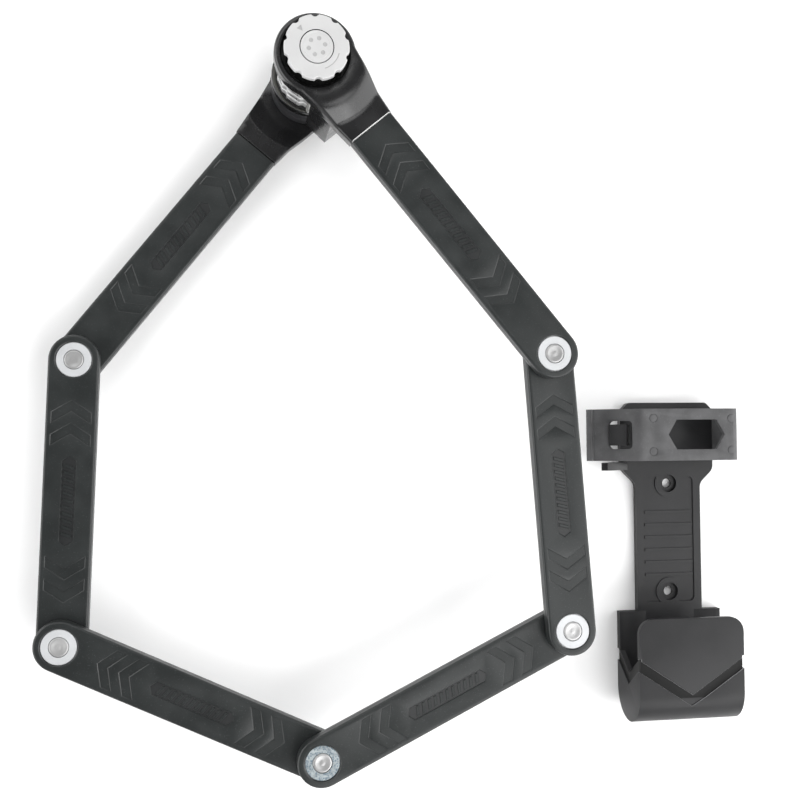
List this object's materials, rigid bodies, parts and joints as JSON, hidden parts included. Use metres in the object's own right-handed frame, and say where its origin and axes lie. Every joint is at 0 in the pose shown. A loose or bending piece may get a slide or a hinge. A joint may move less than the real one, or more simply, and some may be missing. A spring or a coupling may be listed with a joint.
{
  "type": "folding bike lock",
  "caption": "Folding bike lock: riveted steel links with ribbed covers, a combination head with dials and a turning knob, and a frame carrier with boot and strap.",
  "frame": {"origin": "on the head's axis at the outer face of the rear housing's round flange, which the lock rests on", "axes": "+Z along the head's axis and the rivets, from the rear housing to the knob; -Y from the head into the loop; +X towards link 1's side, where the carrier lies"},
  "size_m": [0.3905, 0.404, 0.0769],
  "materials": {
    "cover_plastic": "fine satin mould texture",
    "bar_steel": "hardened, zinc flash",
    "housing_black": "black powder coat with a fine sandy texture",
    "rivet_zinc": "bright zinc plate",
    "dial_silver": "satin silver with black digits",
    "knob_silver": "pearl silver satin",
    "collar_black": "black, slightly glossy",
    "inner_steel": "plain steel",
    "inner_brass": "plain brass",
    "badge": "dark satin plate with a light rim",
    "carrier_rubber": "dark grey soft rubber, matte",
    "carrier_plastic": "black glass-filled nylon"
  },
  "bodies": {
    "head": {"front_housing": "housing_black", "lock_body": "housing_black", "dial_bezel": "housing_black", "bolt_guide_plate": "inner_steel", "body_screws": "inner_steel", "dial_detent_spring": "inner_steel", "index_strips": "dial_silver", "label_plate": "badge", "detent_ball": "inner_steel", "detent_coil_spring": "inner_steel", "link_1_bar": "bar_steel", "link_1_cover": "cover_plastic", "front_bar_pins": "inner_steel", "rivet_1": "rivet_zinc", "rivet_washers_1": "rivet_zinc"},
    "dial_1_ring": {"dial_1": "dial_silver", "code_sleeve_1": "inner_brass"},
    "dial_2_ring": {"dial_2": "dial_silver", "code_sleeve_2": "inner_brass"},
    "dial_3_ring": {"dial_3": "dial_silver", "code_sleeve_3": "inner_brass"},
    "dial_4_ring": {"dial_4": "dial_silver", "code_sleeve_4": "inner_brass"},
    "bolt": {"locking_bolt": "inner_steel"},
    "knob_turner": {"knob": "knob_silver", "knob_cap": "knob_silver", "knob_collar": "collar_black", "knob_spindle": "inner_brass", "knob_screw": "inner_steel"},
    "link_2": {"link_2_bar": "bar_steel", "link_2_cover": "cover_plastic", "rivet_2": "rivet_zinc", "rivet_washers_2": "rivet_zinc"},
    "link_3": {"link_3_bar": "bar_steel", "link_3_cover": "cover_plastic", "rivet_3": "rivet_zinc", "rivet_washers_3": "rivet_zinc"},
    "link_4": {"link_4_bar": "bar_steel", "link_4_cover": "cover_plastic", "rivet_4": "rivet_zinc", "rivet_washers_4": "rivet_zinc"},
    "link_5": {"link_5_bar": "bar_steel", "link_5_cover": "cover_plastic", "rivet_5": "rivet_zinc", "rivet_washers_5": "rivet_zinc"},
    "link_6": {"link_6_bar": "bar_steel", "link_6_cover": "cover_plastic", "rear_housing": "housing_black", "rear_bar_pins": "inner_steel", "bolt_socket": "inner_steel"},
    "carrier": {"carrier_spine": "carrier_plastic", "carrier_boot": "carrier_rubber", "carrier_strap": "carrier_rubber", "strap_catch": "carrier_plastic", "boot_screws": "inner_steel", "spine_pad": "carrier_rubber"}
  },
  "joints": [
    {"name": "rivet_1_hinge", "type": "hinge", "parent": "head", "child": "link_2", "pos_m": [0.12748, -0.1541, 0.053], "axis": [0, 0, 1], "range_deg": [-144.6, 0]},
    {"name": "rivet_2_hinge", "type": "hinge", "parent": "link_2", "child": "link_3", "pos_m": [0.13847, -0.3037, 0.0436], "axis": [0, 0, 1], "range_deg": [0, 248.21]},
    {"name": "rivet_3_hinge", "type": "hinge", "parent": "link_3", "child": "link_4", "pos_m": [0.00365, -0.36946, 0.0342], "axis": [0, 0, 1], "range_deg": [-128.7, 0]},
    {"name": "rivet_4_hinge", "type": "hinge", "parent": "link_4", "child": "link_5", "pos_m": [-0.13196, -0.30535, 0.0248], "axis": [0, 0, 1], "range_deg": [0, 247.06]},
    {"name": "rivet_5_hinge", "type": "hinge", "parent": "link_5", "child": "link_6", "pos_m": [-0.1258, -0.15548, 0.0154], "axis": [0, 0, 1], "range_deg": [-143.38, 0]},
    {"name": "dial_1_turn", "type": "hinge", "parent": "head", "child": "dial_1_ring", "pos_m": [0, 0, 0.05465], "axis": [0, 0, 1], "continuous": true},
    {"name": "dial_2_turn", "type": "hinge", "parent": "head", "child": "dial_2_ring", "pos_m": [0, 0, 0.04795], "axis": [0, 0, 1], "continuous": true},
    {"name": "dial_3_turn", "type": "hinge", "parent": "head", "child": "dial_3_ring", "pos_m": [0, 0, 0.04125], "axis": [0, 0, 1], "continuous": true},
    {"name": "dial_4_turn", "type": "hinge", "parent": "head", "child": "dial_4_ring", "pos_m": [0, 0, 0.03455], "axis": [0, 0, 1], "continuous": true},
    {"name": "knob_turn", "type": "hinge", "parent": "head", "child": "knob_turner", "pos_m": [0, 0, 0.0726], "axis": [0, 0, 1], "range_deg": [0, 90]},
    {"name": "bolt_slide", "type": "slide", "parent": "head", "child": "bolt", "axis": [0, 0, -1], "range_m": [0, 0.0067]},
    {"name": "carrier_lift", "type": "slide", "parent": "head", "child": "carrier", "axis": [0, 0, 1], "range_m": [0, 0.1]}
  ],
  "couplings": [
    {"joint": "rivet_2_hinge", "follows": "rivet_1_hinge", "ratio": -1.7165},
    {"joint": "rivet_3_hinge", "follows": "rivet_1_hinge", "ratio": 0.89004},
    {"joint": "rivet_4_hinge", "follows": "rivet_1_hinge", "ratio": -1.7085},
    {"joint": "rivet_5_hinge", "follows": "rivet_1_hinge", "ratio": 0.99153},
    {"joint": "knob_turn", "follows": "bolt_slide", "rad_per_m": 234.44}
  ]
}
